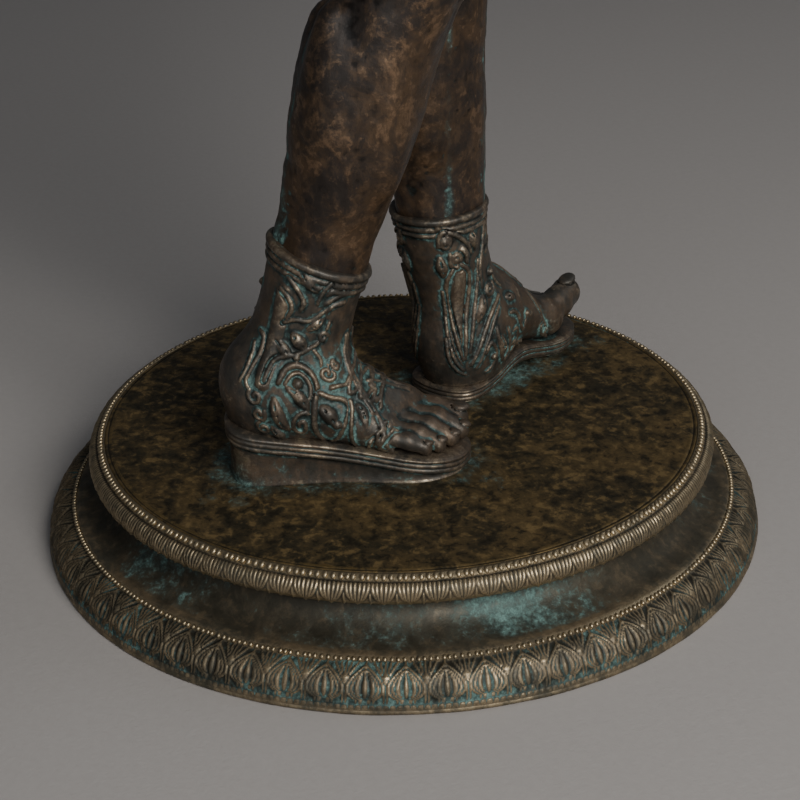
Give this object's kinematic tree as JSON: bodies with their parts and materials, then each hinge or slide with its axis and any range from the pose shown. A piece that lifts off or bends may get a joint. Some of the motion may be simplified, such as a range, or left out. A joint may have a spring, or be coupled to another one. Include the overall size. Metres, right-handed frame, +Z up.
{
  "type": "bronze statuette",
  "caption": "Cast bronze statuette of a standing youth in a short belted tunic and ornate open-toed boots, on a round stepped base with leaf bands.",
  "frame": {"origin": "centre of the round base, on the surface it stands on", "axes": "+Z up the figure; the figure faces -Y and its own left side is +X"},
  "size_m": [0.23, 0.23, 0.5605],
  "materials": {
    "base_bronze": "aged bronze, olive brown patina with worn gold edges and verdigris",
    "plate_bronze": "aged bronze, dark olive brown patina with gold mottling",
    "boot_bronze": "aged bronze, dark patina with turquoise verdigris in the grooves",
    "body_bronze": "aged bronze, dark brown patina rubbed to copper",
    "cloth_bronze": "aged bronze, brown patina with verdigris in the folds",
    "hair_bronze": "aged bronze, dark patina with verdigris in the locks",
    "inner_bronze": "bare cast bronze",
    "steel": "zinc plated steel"
  },
  "bodies": {
    "root": {"base_ring": "base_bronze", "base_plate": "plate_bronze", "base_screws": "steel", "right_sole": "boot_bronze", "left_sole": "boot_bronze", "right_boot": "boot_bronze", "left_boot": "boot_bronze", "foot_studs": "steel", "stud_washers": "steel", "stud_nuts": "steel", "right_leg": "body_bronze", "left_leg": "body_bronze", "ankle_pins": "steel", "tunic_skirt": "cloth_bronze", "hip_pins": "steel", "waist_sleeve": "inner_bronze", "torso": "cloth_bronze", "waist_pins": "steel", "belt": "cloth_bronze", "right_arm": "body_bronze", "left_arm": "body_bronze", "shoulder_pins": "steel", "shoulder_brooches": "base_bronze", "head": "hair_bronze", "neck_dowel": "inner_bronze"}
  },
  "joints": []
}
